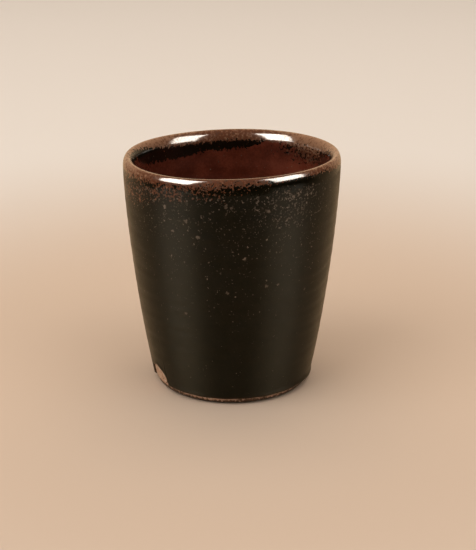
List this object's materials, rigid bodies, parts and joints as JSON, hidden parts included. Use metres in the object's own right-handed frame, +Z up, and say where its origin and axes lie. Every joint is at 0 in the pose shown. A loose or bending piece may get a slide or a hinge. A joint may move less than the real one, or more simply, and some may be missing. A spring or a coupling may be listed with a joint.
{
  "type": "stoneware tumbler",
  "caption": "Hand-thrown stoneware tumbler with a gently flared wall, black satin iron glaze outside, rust-brown lip, red-brown liner and a bare clay foot, for hot or cold drinks.",
  "frame": {"origin": "middle of the foot, on the surface that the tumbler stands on", "axes": "+Z up along the tumbler's axis, -Y towards the viewer of the picture, +X to the viewer's right, where the rim stands highest"},
  "size_m": [0.0858, 0.0858, 0.0947],
  "materials": {
    "bare_clay": "fired, matt, slightly gritty",
    "black_glaze": "satin, with fine tan specks towards the lip",
    "rust_glaze": "gloss, breaking to rust over the lip",
    "red_glaze": "gloss, with a black granular band under the lip"
  },
  "bodies": {
    "root": {"clay_body": "bare_clay", "outer_glaze": "black_glaze", "lip_glaze": "rust_glaze", "inner_glaze": "red_glaze"}
  },
  "joints": []
}
